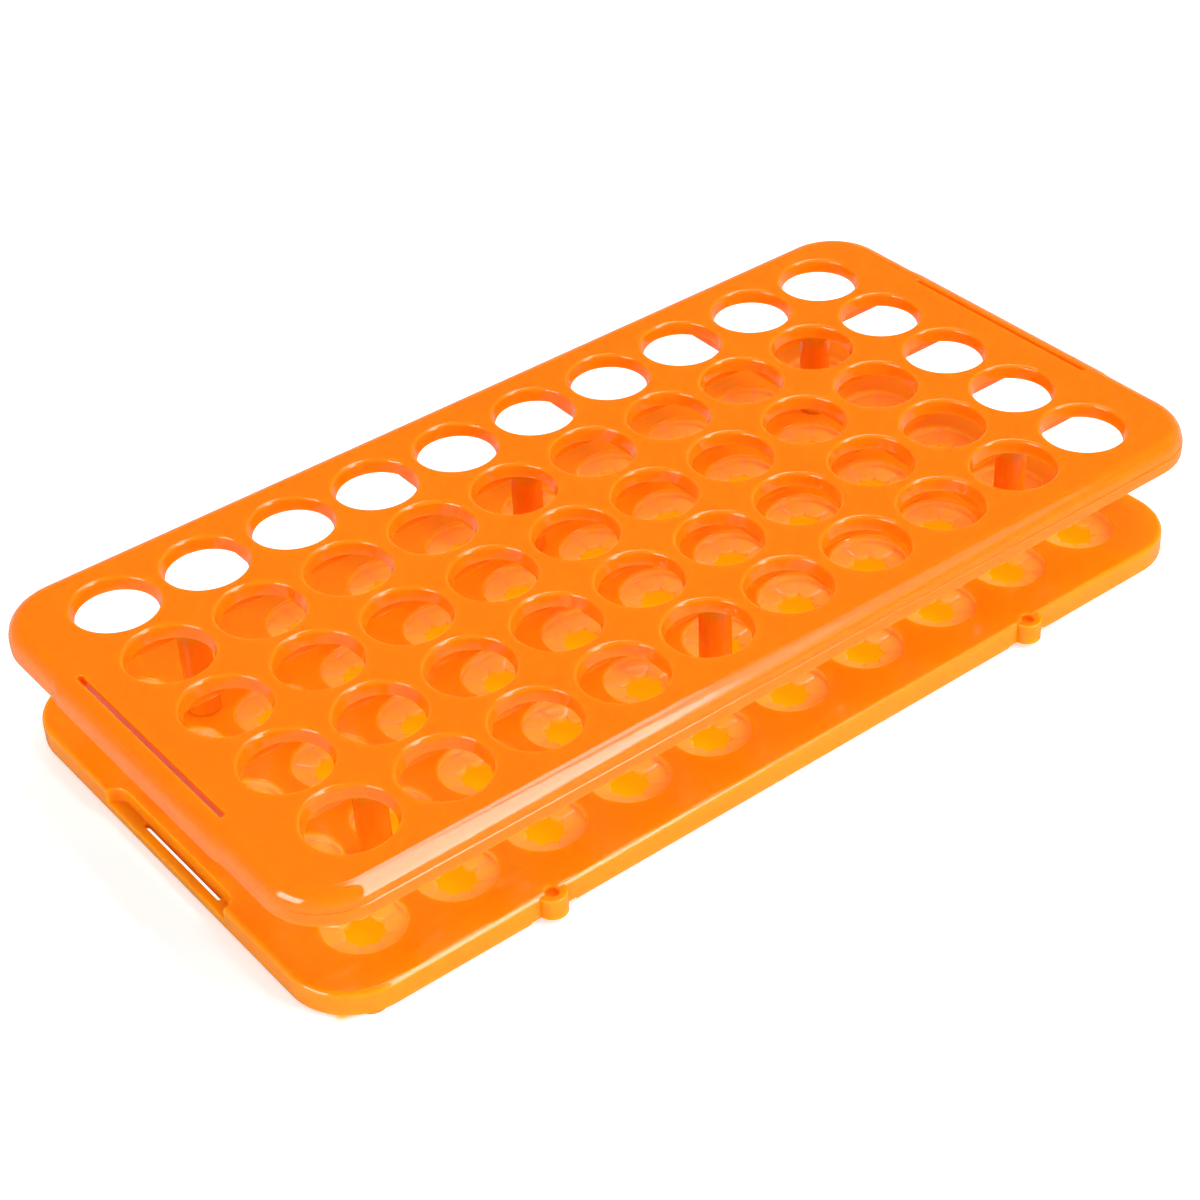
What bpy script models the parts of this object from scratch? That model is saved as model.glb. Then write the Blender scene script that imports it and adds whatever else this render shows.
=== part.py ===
"""Centrifuge tube rack: two perforated plates, one above the other, on six pressed-in posts.

Metres, +Z up. The origin is on the surface the rack stands on, under the middle of the plates.
The long side that the photograph shows in front looks along -Y.
"""
import math

import bmesh
import bpy

# Grid of tube places
COLUMNS = 10
ROWS = 5
PITCH = 0.0220

# Clearance between pieces that touch
FIT_GAP = 0.0003

# Upper plate
TOP_END_MARGIN = 0.0222        # from the last column's centre to the plate's end
TOP_SIDE_MARGIN = 0.0180       # from the outer row's centre to the plate's long side
TOP_CORNER_RADIUS = 0.0145
TOP_EDGE_RADIUS = 0.0038       # rounding between the top face and the skirt
TOP_SKIRT_LEDGE = 0.0003       # the skirt stands this much proud of the rounding
TOP_HEIGHT = 0.0069            # from the top face to the skirt's lower edge
TOP_THICKNESS = 0.0032
TOP_SKIRT_WALL = 0.0020
HOLE_RADIUS = 0.0097
HOLE_LIP = 0.0008
RIB_THICKNESS = 0.0014
RIB_DEPTH = 0.0029
CROSS_RIB_STEP = 2             # a cross rib after every second column
RIB_END_GAP = 0.0010           # the ribs stop this far short of the end slots
END_SLOT_LENGTH = 0.0556
END_SLOT_WIDTH = 0.0020
END_SLOT_INSET = 0.0044        # from the plate's end to the slot's middle line
END_SWELL = 0.0005             # how far the plate's end swells out beside the slot
END_SWELL_LENGTH = 0.0596
END_SWELL_RAMP = 0.0015

# Lower plate
BASE_END_MARGIN = 0.0191
BASE_SIDE_MARGIN = 0.0174
BASE_CORNER_RADIUS = 0.0145
BASE_EDGE_RADIUS = 0.0011
BASE_HEIGHT = 0.0057           # from the top face to the skirt's lower edge
BASE_THICKNESS = 0.0034
BASE_SKIRT_WALL = 0.0020
CUP_RADIUS = 0.0087
CUP_DEPTH = 0.0020
STAR_POINTS = 8
STAR_POINT_RADIUS = 0.0050
STAR_DIP_RADIUS = 0.0035       # where the fingers' tips reach in

# Pocket at each end of the lower plate: the rim is cut down, with a slot behind it
POCKET_LENGTH = 0.0460
POCKET_REACH = 0.0032          # from the plate's end to the pocket's inner wall
POCKET_DEPTH = 0.0033
POCKET_FLOOR = 0.0014          # thickness of the pocket's floor and of the wall beside it
POCKET_SLOT_LENGTH = 0.0294
POCKET_SLOT_WIDTH = 0.0011
POCKET_SLOT_SHIFT = 0.0026     # from the plate's middle line to the slot's middle

# Lugs on the long sides of the lower plate
LUG_COLUMNS = (2, COLUMNS - 2)  # each lug comes after this many columns of holes
LUG_RADIUS = 0.0032
LUG_INSET = 0.0004             # from the plate's long side to the lug's axis
LUG_DROP = 0.0002              # the lug's top lies this far below the plate's top face
LUG_HOLE_RADIUS = 0.0014
LUG_HOLE_DEPTH = 0.0012
NOTCH_LENGTH = 0.0108          # relief in the skirt's lower edge under each lug
NOTCH_HEIGHT = 0.0006

# Feet: round stubs inside the lower plate's skirt
CORNER_FOOT_RADIUS = 0.0034
FOOT_RADIUS = 0.0022
FOOT_INSET = 0.0006            # from the plate's long side to the foot's nearest point
FOOT_HEIGHT = 0.0006           # how far a foot stands below the skirt
CORNER_FOOT_INSET = 0.0112     # from the plate's end to the axis of the foot at the corner
RIGHT_FOOT_INSET = 0.0345      # from the plate's right end to the last foot
MIDDLE_FEET = (-0.0231, -0.0011)    # from the middle of the plate

# Posts, each after this many columns and rows of holes
POST_COLUMNS = {"left": 1, "middle": COLUMNS // 2, "right": COLUMNS - 1}
POST_ROWS = {"front": 1, "back": ROWS - 1}
POST_RADIUS = 0.0036           # at the foot
POST_TAPER = 0.0001            # how much slimmer the post is at the top
PLATE_GAP = 0.0201             # clear height between the lower plate and the upper skirt
SPIGOT_RADIUS = 0.0021
SPIGOT_LENGTH = 0.0040
SOCKET_WALL = 0.0014
SOCKET_DROP = 0.0004           # how far the upper sockets reach below the ribs
SOCKET_FLOOR = 0.0010          # left under the spigot in the lower plate

# Fineness of the round shapes
CORNER_STEPS = 5
SLOT_STEPS = 3
TOP_EDGE_STEPS = 4
BASE_EDGE_STEPS = 2
HOLE_SIDES = 14
CUP_SIDES = 12
POST_SIDES = 12
FOOT_SIDES = 8
OVERRUN = 0.0004               # how far a joined or cutting shape runs past the face it meets

# Sizes and levels that follow from those above
GRID_LENGTH = (COLUMNS - 1) * PITCH
GRID_WIDTH = (ROWS - 1) * PITCH
TOP_LENGTH = GRID_LENGTH + 2 * TOP_END_MARGIN
TOP_WIDTH = GRID_WIDTH + 2 * TOP_SIDE_MARGIN
BASE_LENGTH = GRID_LENGTH + 2 * BASE_END_MARGIN
BASE_WIDTH = GRID_WIDTH + 2 * BASE_SIDE_MARGIN
BASE_LOW = FOOT_HEIGHT
BASE_FACE = BASE_LOW + BASE_HEIGHT
BASE_UNDER = BASE_FACE - BASE_THICKNESS
TOP_LOW = BASE_FACE + PLATE_GAP
TOP_FACE = TOP_LOW + TOP_HEIGHT
TOP_UNDER = TOP_FACE - TOP_THICKNESS
RIB_LOW = TOP_UNDER - RIB_DEPTH
SOCKET_LOW = RIB_LOW - SOCKET_DROP
SOCKET_RADIUS = SPIGOT_RADIUS + FIT_GAP
SOCKET_DEPTH = SPIGOT_LENGTH + FIT_GAP


def column_x(column):
    """Centre line of a column of holes."""
    return column * PITCH - GRID_LENGTH / 2


def row_y(row):
    """Centre line of a row of holes."""
    return row * PITCH - GRID_WIDTH / 2


def after_columns(count):
    """Line halfway between two columns, after this many of them."""
    return column_x(count) - PITCH / 2


def after_rows(count):
    """Line halfway between two rows, after this many of them."""
    return row_y(count) - PITCH / 2


def tube_places():
    """The middle of every tube place."""
    return [(column_x(column), row_y(row)) for row in range(ROWS) for column in range(COLUMNS)]


def post_places():
    """Name and middle of every post."""
    return [(f"post_{side}_{end}", after_columns(columns), after_rows(rows))
            for side, rows in POST_ROWS.items() for end, columns in POST_COLUMNS.items()]


def lug_places():
    """The axis of every lug."""
    reach = BASE_WIDTH / 2 - LUG_INSET
    return [(after_columns(count), side * reach) for count in LUG_COLUMNS for side in (-1, 1)]


def along_both_sides(row, reach):
    """Places along the front, and the same row turned round at the back."""
    return [(-side * x, side * reach) for side in (-1, 1) for x in row]


def foot_places():
    """The middle of every small foot."""
    row = (*MIDDLE_FEET, BASE_LENGTH / 2 - RIGHT_FOOT_INSET)
    return along_both_sides(row, BASE_WIDTH / 2 - FOOT_INSET - FOOT_RADIUS)


def corner_foot_places():
    """The middle of the two larger feet, each at the start of its row."""
    row = (CORNER_FOOT_INSET - BASE_LENGTH / 2,)
    return along_both_sides(row, BASE_WIDTH / 2 - FOOT_INSET - CORNER_FOOT_RADIUS)


def circle(middle, radius, z, sides):
    """Ring of points at height z."""
    x, y = middle
    turn = 2 * math.pi / sides
    return [(x + radius * math.cos(i * turn), y + radius * math.sin(i * turn), z) for i in range(sides)]


def star(middle, z):
    """Outline left open between the fingers of a cup: a point at each slit, a dip at each tip."""
    x, y = middle
    ring = []
    for i in range(2 * STAR_POINTS):
        radius = STAR_DIP_RADIUS if i % 2 else STAR_POINT_RADIUS
        angle = i * math.pi / STAR_POINTS
        ring.append((x + radius * math.cos(angle), y + radius * math.sin(angle), z))
    return ring


def slot(middle, length, width, z):
    """Outline with round ends, long along Y."""
    x, y = middle
    radius = width / 2
    ring = []
    for end, side in enumerate((1, -1)):
        for step in range(SLOT_STEPS + 1):
            angle = (end + step / SLOT_STEPS) * math.pi
            centre_y = y + side * (length / 2 - radius)
            ring.append((x + radius * math.cos(angle), centre_y + radius * math.sin(angle), z))
    return ring


def plate_outline(length, width, corner, z, swell=None):
    """Rectangle with round corners; swell is how far the two ends bulge out beside their slots."""
    ring = []
    for quarter, (side_x, side_y) in enumerate(((1, 1), (-1, 1), (-1, -1), (1, -1))):
        centre_x = side_x * (length / 2 - corner)
        centre_y = side_y * (width / 2 - corner)
        for step in range(CORNER_STEPS + 1):
            angle = (quarter + step / CORNER_STEPS) * math.pi / 2
            ring.append((centre_x + corner * math.cos(angle), centre_y + corner * math.sin(angle), z))
        if swell is not None and quarter % 2:
            near = END_SWELL_LENGTH / 2
            far = near + END_SWELL_RAMP
            for y, out in ((-far, 0), (-near, swell), (near, swell), (far, 0)):
                ring.append((side_x * (length / 2 + out), side_x * y, z))
    return ring


def add_solid(mesh, rings):
    """Join rings, listed from the top down, into a closed solid with a flat face at each end."""
    loops = [[mesh.verts.new(point) for point in ring] for ring in rings]
    for upper, lower in zip(loops, loops[1:]):
        for i in range(len(upper)):
            mesh.faces.new((upper[i - 1], lower[i - 1], lower[i], upper[i]))
    mesh.faces.new(loops[0])
    mesh.faces.new(reversed(loops[-1]))


def add_box(mesh, low, high):
    """Box between two corners."""
    def level(z):
        return [(low[0], low[1], z), (high[0], low[1], z), (high[0], high[1], z), (low[0], high[1], z)]
    add_solid(mesh, [level(high[2]), level(low[2])])


def make_object(name, mesh, material=None):
    """Put a finished bmesh into the scene."""
    data = bpy.data.meshes.new(name)
    mesh.to_mesh(data)
    mesh.free()
    if material:
        data.materials.append(material)
    thing = bpy.data.objects.new(name, data)
    bpy.context.scene.collection.objects.link(thing)
    return thing


def combine(body, tool, operation):
    """Join the tool to the body or cut it away, and remove the tool."""
    modifier = body.modifiers.new(tool.name, "BOOLEAN")
    modifier.operation = operation
    modifier.solver = "EXACT"
    modifier.object = tool
    graph = bpy.context.evaluated_depsgraph_get()
    result = bpy.data.meshes.new_from_object(body.evaluated_get(graph))
    body.modifiers.clear()
    before = body.data
    body.data = result
    bpy.data.meshes.remove(before)
    bpy.data.objects.remove(tool)


def shade(thing, angle=35):
    """Smooth the round faces and keep the edges sharp."""
    thing.data.shade_smooth()
    thing.data.set_sharp_from_angle(angle=math.radians(angle))


def orange_plastic(name, colour, roughness):
    """Glossy moulded plastic that lets some light through."""
    material = bpy.data.materials.new(name)
    material.use_nodes = True
    shader = material.node_tree.nodes["Principled BSDF"]
    shader.inputs["Base Color"].default_value = (*colour, 1)
    shader.inputs["Roughness"].default_value = roughness
    shader.inputs["Metallic"].default_value = 0
    return material


def plate_shell(name, material, length, width, corner, levels, edge, wall, ledge=0.0, swell=None):
    """Plate with a rounded top edge and a skirt, open underneath."""
    face, under, low = levels
    radius, steps = edge
    rings = []
    for step in range(steps + 1):
        angle = step / steps * math.pi / 2
        inset = ledge + radius * (1 - math.sin(angle))
        drop = radius * (1 - math.cos(angle))
        out = None if swell is None else swell * math.sin(angle)
        rings.append(plate_outline(length - 2 * inset, width - 2 * inset, corner - inset, face - drop, out))
    if ledge:
        rings.append(plate_outline(length, width, corner, face - radius, swell))
    rings.append(plate_outline(length, width, corner, low, swell))
    inner = (length - 2 * wall, width - 2 * wall, corner - wall)
    rings.append(plate_outline(*inner, low, swell))
    rings.append(plate_outline(*inner, under, swell))
    mesh = bmesh.new()
    add_solid(mesh, rings)
    return make_object(name, mesh, material)


def top_ribs():
    """Ribs under the upper plate: one between all rows, and across after every second column."""
    reach_x = TOP_LENGTH / 2 - END_SLOT_INSET - END_SLOT_WIDTH / 2 - RIB_END_GAP
    reach_y = TOP_WIDTH / 2 - TOP_SKIRT_WALL + OVERRUN
    high = TOP_UNDER + OVERRUN
    half = RIB_THICKNESS / 2
    along = bmesh.new()
    for rows in range(1, ROWS):
        y = after_rows(rows)
        add_box(along, (-reach_x, y - half, RIB_LOW), (reach_x, y + half, high))
    across = bmesh.new()
    for columns in range(CROSS_RIB_STEP, COLUMNS, CROSS_RIB_STEP):
        x = after_columns(columns)
        add_box(across, (x - half, -reach_y, RIB_LOW), (x + half, reach_y, high))
    return make_object("ribs_along", along), make_object("ribs_across", across)


def round_bars(name, places, radius, high, low, sides):
    """Round bars, all of one size."""
    mesh = bmesh.new()
    for middle in places:
        add_solid(mesh, [circle(middle, radius, high, sides), circle(middle, radius, low, sides)])
    return make_object(name, mesh)


def tube_hole_cutter():
    """Every tube hole of the upper plate, with its lip."""
    mesh = bmesh.new()
    for middle in tube_places():
        add_solid(mesh, [
            circle(middle, HOLE_RADIUS + HOLE_LIP + OVERRUN, TOP_FACE + OVERRUN, HOLE_SIDES),
            circle(middle, HOLE_RADIUS, TOP_FACE - HOLE_LIP, HOLE_SIDES),
            circle(middle, HOLE_RADIUS, TOP_UNDER - OVERRUN, HOLE_SIDES),
        ])
    return make_object("tube_holes", mesh)


def pocket_floors():
    """Thick floor and inner wall for the pocket at each end of the lower plate."""
    mesh = bmesh.new()
    outer = BASE_LENGTH / 2 - BASE_SKIRT_WALL / 2
    inner = BASE_LENGTH / 2 - POCKET_REACH - POCKET_FLOOR
    half = POCKET_LENGTH / 2 + POCKET_FLOOR
    low = BASE_FACE - POCKET_DEPTH - POCKET_FLOOR
    for side in (-1, 1):
        ends = sorted((side * inner, side * outer))
        add_box(mesh, (ends[0], -half, low), (ends[1], half, BASE_UNDER + OVERRUN))
    return make_object("pocket_floors", mesh)


def end_cutter(name, from_middle, length, width, high, low, shift=0.0):
    """A slot at each end of a plate, moved to the front on the left and to the back on the right."""
    mesh = bmesh.new()
    for side in (-1, 1):
        middle = (side * from_middle, side * shift)
        add_solid(mesh, [slot(middle, length, width, high), slot(middle, length, width, low)])
    return make_object(name, mesh)


def star_cutter():
    """The star opening in the floor of every cup."""
    mesh = bmesh.new()
    for middle in tube_places():
        high = BASE_FACE - CUP_DEPTH + OVERRUN
        add_solid(mesh, [star(middle, high), star(middle, BASE_UNDER - OVERRUN)])
    return make_object("stars", mesh)


def notch_cutter():
    """Relief in the lower plate's skirt under each lug."""
    mesh = bmesh.new()
    half = NOTCH_LENGTH / 2
    for x, y in lug_places():
        deep = LUG_RADIUS + BASE_SKIRT_WALL
        low = (x - half, y - deep, BASE_LOW - OVERRUN)
        add_box(mesh, low, (x + half, y + deep, BASE_LOW + NOTCH_HEIGHT))
    return make_object("notches", mesh)


def make_top_plate():
    """Upper plate: round tube holes, skirt, ribs underneath and a socket above each post."""
    plate = plate_shell(
        "top_plate", orange_plastic("orange_top", (1.0, 0.21, 0.012), 0.16),
        TOP_LENGTH, TOP_WIDTH, TOP_CORNER_RADIUS, (TOP_FACE, TOP_UNDER, TOP_LOW),
        (TOP_EDGE_RADIUS, TOP_EDGE_STEPS), TOP_SKIRT_WALL, TOP_SKIRT_LEDGE, END_SWELL)
    posts = [(x, y) for _, x, y in post_places()]
    for ribs in top_ribs():
        combine(plate, ribs, "UNION")
    wall = SOCKET_RADIUS + SOCKET_WALL
    high = TOP_UNDER + OVERRUN
    combine(plate, round_bars("top_bosses", posts, wall, high, SOCKET_LOW, POST_SIDES), "UNION")
    deep = SOCKET_LOW + SOCKET_DEPTH
    bores = round_bars("top_bores", posts, SOCKET_RADIUS, deep, SOCKET_LOW - OVERRUN, POST_SIDES)
    combine(plate, bores, "DIFFERENCE")
    combine(plate, tube_hole_cutter(), "DIFFERENCE")
    slots = end_cutter("end_slots", TOP_LENGTH / 2 - END_SLOT_INSET, END_SLOT_LENGTH, END_SLOT_WIDTH,
                       TOP_FACE + OVERRUN, TOP_UNDER - OVERRUN)
    combine(plate, slots, "DIFFERENCE")
    shade(plate)


def make_bottom_plate():
    """Lower plate: cups with star openings, skirt, lugs, feet, end pockets and post sockets."""
    plate = plate_shell(
        "bottom_plate", orange_plastic("orange_base", (1.0, 0.20, 0.010), 0.20),
        BASE_LENGTH, BASE_WIDTH, BASE_CORNER_RADIUS, (BASE_FACE, BASE_UNDER, BASE_LOW),
        (BASE_EDGE_RADIUS, BASE_EDGE_STEPS), BASE_SKIRT_WALL)
    posts = [(x, y) for _, x, y in post_places()]
    under = BASE_UNDER + OVERRUN
    combine(plate, round_bars("lugs", lug_places(), LUG_RADIUS, BASE_FACE - LUG_DROP,
                              BASE_LOW + NOTCH_HEIGHT / 2, POST_SIDES), "UNION")
    combine(plate, notch_cutter(), "DIFFERENCE")
    combine(plate, round_bars("feet", foot_places(), FOOT_RADIUS, under, 0.0, FOOT_SIDES), "UNION")
    combine(plate, round_bars("corner_feet", corner_foot_places(), CORNER_FOOT_RADIUS, under, 0.0,
                              POST_SIDES), "UNION")
    bore_low = BASE_FACE - SOCKET_DEPTH
    combine(plate, round_bars("base_bosses", posts, SOCKET_RADIUS + SOCKET_WALL, under,
                              bore_low - SOCKET_FLOOR, POST_SIDES), "UNION")
    combine(plate, round_bars("base_bores", posts, SOCKET_RADIUS, BASE_FACE + OVERRUN,
                              bore_low, POST_SIDES), "DIFFERENCE")
    combine(plate, round_bars("lug_holes", lug_places(), LUG_HOLE_RADIUS, BASE_FACE + OVERRUN,
                              BASE_FACE - LUG_DROP - LUG_HOLE_DEPTH, POST_SIDES), "DIFFERENCE")
    combine(plate, round_bars("cups", tube_places(), CUP_RADIUS, BASE_FACE + OVERRUN,
                              BASE_FACE - CUP_DEPTH, CUP_SIDES), "DIFFERENCE")
    combine(plate, star_cutter(), "DIFFERENCE")
    pocket_low = BASE_FACE - POCKET_DEPTH
    combine(plate, pocket_floors(), "UNION")
    combine(plate, end_cutter("pockets", BASE_LENGTH / 2, POCKET_LENGTH, 2 * POCKET_REACH,
                              BASE_FACE + OVERRUN, pocket_low), "DIFFERENCE")
    slot_line = BASE_LENGTH / 2 - POCKET_REACH + POCKET_SLOT_WIDTH / 2
    combine(plate, end_cutter("pocket_slots", slot_line, POCKET_SLOT_LENGTH, POCKET_SLOT_WIDTH,
                              pocket_low + OVERRUN, pocket_low - POCKET_FLOOR - OVERRUN,
                              POCKET_SLOT_SHIFT), "DIFFERENCE")
    shade(plate)


def make_posts():
    """Six turned-shape posts: a slightly tapered body with a spigot at each end."""
    material = orange_plastic("orange_post", (1.0, 0.115, 0.0), 0.22)
    low = BASE_FACE + FIT_GAP
    high = SOCKET_LOW - FIT_GAP
    slim = POST_RADIUS - POST_TAPER
    profile = (
        (SPIGOT_RADIUS, high + SPIGOT_LENGTH), (SPIGOT_RADIUS, high), (slim, high),
        (POST_RADIUS, low), (SPIGOT_RADIUS, low), (SPIGOT_RADIUS, low - SPIGOT_LENGTH),
    )
    mesh = bmesh.new()
    add_solid(mesh, [circle((0.0, 0.0), radius, z, POST_SIDES) for radius, z in profile])
    first = None
    for name, x, y in post_places():
        if first is None:
            post = make_object(name, mesh, material)
            shade(post)
            first = post
        else:
            post = bpy.data.objects.new(name, first.data)
            bpy.context.scene.collection.objects.link(post)
        post.location = (x, y, 0.0)


def main():
    for thing in list(bpy.data.objects):
        bpy.data.objects.remove(thing)
    make_top_plate()
    make_bottom_plate()
    make_posts()


main()
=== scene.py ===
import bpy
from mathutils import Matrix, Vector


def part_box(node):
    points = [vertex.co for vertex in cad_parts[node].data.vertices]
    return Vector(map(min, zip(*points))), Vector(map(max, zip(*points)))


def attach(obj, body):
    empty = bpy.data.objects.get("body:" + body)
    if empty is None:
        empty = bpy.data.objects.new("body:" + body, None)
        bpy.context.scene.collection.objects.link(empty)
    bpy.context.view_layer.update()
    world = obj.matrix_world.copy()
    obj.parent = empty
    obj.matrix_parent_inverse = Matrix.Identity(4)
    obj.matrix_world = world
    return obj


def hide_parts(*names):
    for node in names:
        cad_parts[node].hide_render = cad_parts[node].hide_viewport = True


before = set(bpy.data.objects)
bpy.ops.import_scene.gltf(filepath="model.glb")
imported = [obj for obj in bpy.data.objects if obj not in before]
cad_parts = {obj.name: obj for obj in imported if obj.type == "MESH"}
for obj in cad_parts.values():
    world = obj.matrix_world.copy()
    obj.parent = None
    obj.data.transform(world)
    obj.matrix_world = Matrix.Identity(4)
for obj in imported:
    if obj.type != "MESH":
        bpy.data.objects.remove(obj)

"""Looks of the centrifuge tube rack: two plates of translucent orange plastic on six short posts.

Metres, +Z up, with the long side that the photograph shows in front along -Y. The outer sizes and
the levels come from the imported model. What follows gives the rack its fine shape: rolled lips and
slanted walls in the tube holes, star openings and shallow grooves in the cups, rounded rims,
drafted ribs and smooth posts. Then come the plastics, the floor, the lamps and the camera.
"""
import math

import bmesh
import bpy
from mathutils import Matrix, Vector

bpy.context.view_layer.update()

# Grid of tube places
COLUMNS = 10
ROWS = 5
PITCH = 0.0220

# Upper plate
TOP_CORNER_RADIUS = 0.0145
TOP_EDGE_RADIUS = 0.0038
TOP_SKIRT_LEDGE = 0.0003       # fine step along the long sides where the rounding meets the skirt
LEDGE_TOP = 0.96               # share of the ledge that is left at its upper edge
TOP_THICKNESS = 0.0032
TOP_SKIRT_WALL = 0.0020
HOLE_RADIUS = 0.00895          # at its narrowest, just above the underside
HOLE_MOUTH = 0.01030           # at the top face
HOLE_LIP = 0.0008
HOLE_SLANT = math.radians(14)  # how far the hole's wall leans back below the lip
HOLE_LOWER_LIP = 0.00025
RIB_THICKNESS = 0.0014
RIB_DEPTH = 0.0029
RIB_SHARES = (1.15, 0.95, 0.85, 0.6)         # a rib's width from its root to its soft lower edge
CROSS_RIB_STEP = 2             # columns between two ribs along Y
RIB_END_GAP = 0.0010           # the ribs stop this far short of the end slots
END_SLOT_LENGTH = 0.0556
END_SLOT_WIDTH = 0.0011
END_SLOT_INSET = 0.0044
END_SLOT_OUTER_LIP = 0.0008
END_SLOT_INNER_LIP = 0.0002
END_SWELL = 0.0005
END_SWELL_LENGTH = 0.0596
END_SWELL_RAMP = 0.0030
SOCKET_WALL_RADIUS = 0.0038
SOCKET_DROP = 0.0004
SINK_RADIUS = 0.0028           # faint dish in the top face above each post
SINK_DEPTH = 0.00006
SINK_SHARES = (1.0, 0.8, 0.55, 0.25)         # rings of the dish, from its edge inwards

# Lower plate
BASE_CORNER_RADIUS = 0.0145
BASE_EDGE_RADIUS = 0.0011
BASE_THICKNESS = 0.0034
BASE_SKIRT_WALL = 0.0020
CUP_RADIUS = 0.0087
CUP_DEPTH = 0.0020
CUP_LIP = 0.0004
CUP_FILLET = 0.0004
CUP_DISH = 0.0005              # how far the floor sinks from the cup's wall towards its middle
CUP_FLOOR_SHARES = (0.8, 0.6, 0.45, 0.3, 0.15)  # rings of the floor, from its fillet inwards
FINGERS = 8
FINGER_TIP_REACH = 0.0038      # from the cup's middle to the fingers' tips
FINGER_TIP_RADIUS = 0.0028
FINGER_EDGE = 0.0002           # soft edge along each finger
GROOVE_START = 0.0044          # the grooves between the fingers run from here
GROOVE_END = 0.0079
GROOVE_WIDTH = 0.0010
GROOVE_DEPTH = 0.00006
GROOVE_SECTION = ((1.4, 0.5), (0.4, -1.0), (-0.4, -1.0), (-1.4, 0.5))  # half widths across, depths up
POCKET_LENGTH = 0.0460
POCKET_REACH = 0.0032          # from the plate's end to the pocket's inner wall
POCKET_DEPTH = 0.0033
POCKET_FLOOR = 0.0014
POCKET_LIP = 0.0004
POCKET_FILLET = 0.0003
POCKET_RIM_EDGE = 0.0004       # rounding of the pocket's floor towards the plate's end
POCKET_SLOT_LENGTH = 0.0294
POCKET_SLOT_WIDTH = 0.0011
POCKET_SLOT_SHIFT = 0.0026     # to the front on the left, to the back on the right
POCKET_SLOT_LIP = 0.00015
LUG_COLUMNS = (2, COLUMNS - 2)  # a lug after this many columns
LUG_RADIUS = 0.0032
LUG_INSET = 0.0004
LUG_DROP = 0.0002
LUG_EDGE = 0.0003
LUG_HOLE_RADIUS = 0.0014
LUG_HOLE_DEPTH = 0.0012
NOTCH_LENGTH = 0.0108
NOTCH_HEIGHT = 0.0006
CORNER_FOOT_RADIUS = 0.0034
FOOT_RADIUS = 0.0022
FOOT_INSET = 0.0006
FOOT_HEIGHT = 0.0006
FOOT_EDGE = 0.0003
CORNER_FOOT_INSET = 0.0112
RIGHT_FOOT_INSET = 0.0345
MIDDLE_FEET = (-0.0231, -0.0011)

# Posts
POST_RADIUS = 0.0036
POST_TAPER = 0.0001
POST_EDGE = 0.0002
POST_NAMES = [f"post_{side}_{end}" for side in ("front", "back") for end in ("left", "middle", "right")]

# Fineness
CORNER_STEPS = 18
EDGE_STEPS = 8
SOFT_STEPS = 3
LIP_STEPS = 6
HOLE_SIDES = 56
TIP_STEPS = 6
POST_SIDES = 48
OVERRUN = 0.0003               # how far a cutting shape reaches past the face that it cuts
NEAR = 0.00002                 # keeps two faces from lying in one plane
CREASE_ANGLE = math.radians(32)  # edges sharper than this stay crisp

# Levels and outer sizes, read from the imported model
TOP_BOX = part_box("top_plate")
BASE_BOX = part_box("bottom_plate")
TOP_FACE = TOP_BOX[1].z
TOP_LOW = TOP_BOX[0].z
TOP_UNDER = TOP_FACE - TOP_THICKNESS
TOP_LENGTH = TOP_BOX[1].x - TOP_BOX[0].x - 2 * END_SWELL
TOP_WIDTH = TOP_BOX[1].y - TOP_BOX[0].y
RIB_LOW = TOP_UNDER - RIB_DEPTH
SOCKET_LOW = RIB_LOW - SOCKET_DROP
BASE_FACE = BASE_BOX[1].z
BASE_LOW = BASE_BOX[0].z + FOOT_HEIGHT
BASE_UNDER = BASE_FACE - BASE_THICKNESS
BASE_LENGTH = BASE_BOX[1].x - BASE_BOX[0].x
BASE_WIDTH = BASE_BOX[1].y - BASE_BOX[0].y - 2 * (LUG_RADIUS - LUG_INSET)

# Plastics: colour, deeper colour, roughness, how far light spreads inside
TOP_PLASTIC = ((0.99, 0.222, 0.003), (0.99, 0.19, 0.001), 0.08, 0.0050)
# painted light: the lower plate's orange is paler than the upper plate's, to make up for the shade that
# the upper plate casts on it
LOWER_PLASTIC = ((0.99, 0.30, 0.003), (0.99, 0.26, 0.001), 0.11, 0.0055)
POST_PLASTIC = ((0.99, 0.21, 0.001), (0.99, 0.17, 0.001), 0.15, 0.0025)
SCATTER_COLOUR = (1.0, 0.7, 0.2)
# painted light: the cups' insides paler, where the thin fingers let light through
FINGER_LIGHT_COLOUR = (0.99, 0.56, 0.09)
# painted sheen: a pinker line along each groove between the fingers
GROOVE_SHEEN_COLOUR = (0.99, 0.53, 0.11)
FINGER_LIGHT_DEPTHS = (0.0001, 0.0009)        # below the face, where the painted light begins and where it is full
PLASTIC_IOR = 1.49
PLASTIC_SPECULAR = 0.6
DRIFT_SCALE = 22.0             # slow drift towards the deeper colour
DRIFT_BAND = (0.35, 0.7)
DRIFT_SHARE = 0.25
WAVE_SCALE = 70.0              # faint waviness and unevenness of the gloss
GLOSS_SWING = 0.08
GRAIN_SCALE = 2600.0
GRAIN_HEIGHT = 0.02
BUMP_STRENGTH = 0.08
BUMP_DISTANCE = 0.0006

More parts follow.
